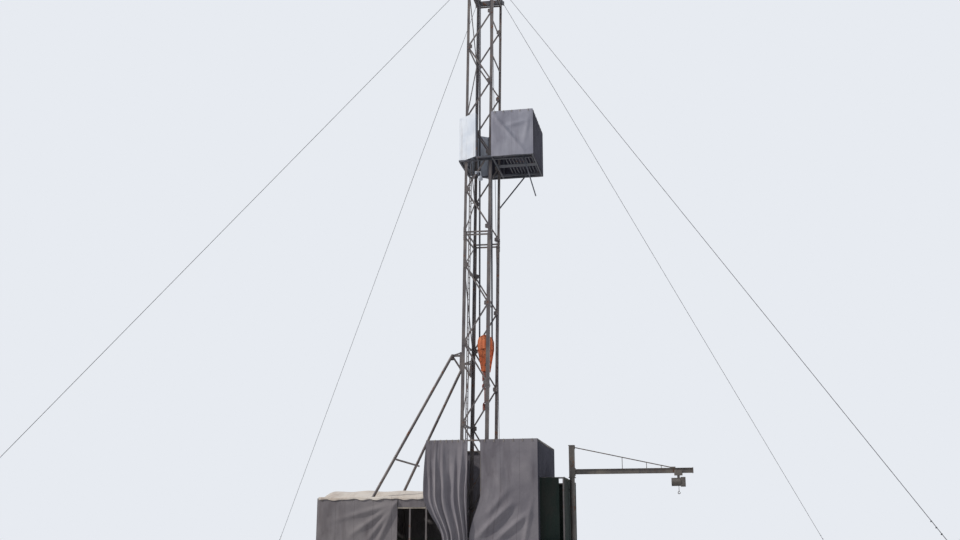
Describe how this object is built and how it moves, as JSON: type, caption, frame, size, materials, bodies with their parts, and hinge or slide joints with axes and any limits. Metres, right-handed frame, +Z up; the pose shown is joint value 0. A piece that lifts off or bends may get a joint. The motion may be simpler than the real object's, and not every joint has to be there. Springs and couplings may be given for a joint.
{
  "type": "oil drilling rig",
  "caption": "Portable oil drilling rig: guyed lattice mast with travelling block, racking board, canvas windwalls, machinery enclosure and a slewing jib",
  "frame": {"origin": "centre of the well on the ground, which is the centre of the guy anchors", "axes": "+X to the front, where the racking board and the jib are; +Y to the far side; +Z up"},
  "size_m": [37.8484, 37.8484, 32.2876],
  "materials": {
    "skid_steel": "dusty dark grey paint",
    "deck_plate": "worn grey paint",
    "frame_steel": "weathered grey-beige paint",
    "wall_canvas": "heavy woven canvas, matt",
    "porch_canvas": "dark green-black tarpaulin",
    "roof_canvas": "pale tarpaulin",
    "mast_steel": "weathered grey paint with rust",
    "board_steel": "dark grey paint",
    "board_canvas": "light blue-grey canvas",
    "board_panel": "off-white sheet",
    "crown_steel": "greasy dark grey",
    "wire_line": "greased wire rope",
    "block_paint": "worn orange-red paint",
    "hook_paint": "dark red paint, greasy",
    "jib_paint": "grey-beige paint, dark where greased",
    "anchor_steel": "rusty steel"
  },
  "bodies": {
    "rig": {"substructure_near": "skid_steel", "substructure_far": "skid_steel", "cross_beams": "skid_steel", "drill_floor": "deck_plate", "machinery_skid_near": "skid_steel", "machinery_skid_far": "skid_steel", "machinery_deck": "deck_plate", "wall_posts": "frame_steel", "wall_rails": "frame_steel", "curtain_near": "wall_canvas", "canvas_near": "wall_canvas", "canvas_front": "wall_canvas", "canvas_far": "wall_canvas", "canvas_back": "wall_canvas", "porch_canvas": "porch_canvas", "machinery_posts": "frame_steel", "machinery_rails": "frame_steel", "machinery_canvas_near": "wall_canvas", "machinery_canvas_back": "wall_canvas", "machinery_canvas_far": "wall_canvas", "roof_bows": "frame_steel", "roof_canvas": "roof_canvas", "mast_shoes": "deck_plate", "mast_lower_near": "mast_steel", "mast_lower_far": "mast_steel", "mast_lower_back": "mast_steel", "mast_upper_near": "mast_steel", "mast_upper_far": "mast_steel", "mast_upper_back": "mast_steel", "mast_front_girts": "mast_steel", "mast_ladder": "mast_steel", "brace_brackets": "mast_steel", "mast_brace_near": "mast_steel", "mast_brace_far": "mast_steel", "brace_link": "mast_steel", "board_frame": "board_steel", "board_walkway": "board_steel", "racking_fingers": "board_steel", "board_posts": "board_steel", "board_canvas_near": "board_canvas", "board_canvas_front": "board_canvas", "board_canvas_far": "board_canvas", "board_corner_panels": "board_panel", "board_back_panel": "board_panel", "board_props": "board_steel", "crown_frame": "crown_steel", "crown_sheaves": "crown_steel", "anchored_lines": "wire_line", "drilling_lines": "wire_line", "jib_pillar": "jib_paint", "guy_lines": "wire_line", "guy_anchors": "anchor_steel"},
    "block": {"travelling_block": "block_paint", "block_sheaves": "crown_steel"},
    "hook": {"hook": "hook_paint", "elevator_links": "hook_paint", "elevator": "hook_paint"},
    "jib": {"jib_head": "jib_paint", "jib_boom": "jib_paint"},
    "hoist": {"hoist_trolley": "jib_paint"}
  },
  "joints": [
    {"name": "block_travel", "type": "slide", "parent": "rig", "child": "block", "axis": [0, 0, 1], "range_m": [-5.5, 16.2], "deforming": ["drilling_lines"]},
    {"name": "hook_swivel", "type": "hinge", "parent": "block", "child": "hook", "pos_m": [0, 0, 9.9], "axis": [0, 0, 1], "continuous": true},
    {"name": "jib_slew", "type": "hinge", "parent": "rig", "child": "jib", "pos_m": [4.35, -0.8, 5.5], "axis": [0, 0, 1], "range_deg": [-80, 80]},
    {"name": "hoist_travel", "type": "slide", "parent": "jib", "child": "hoist", "axis": [1, 0, 0], "range_m": [-3.9, 0.28]}
  ]
}
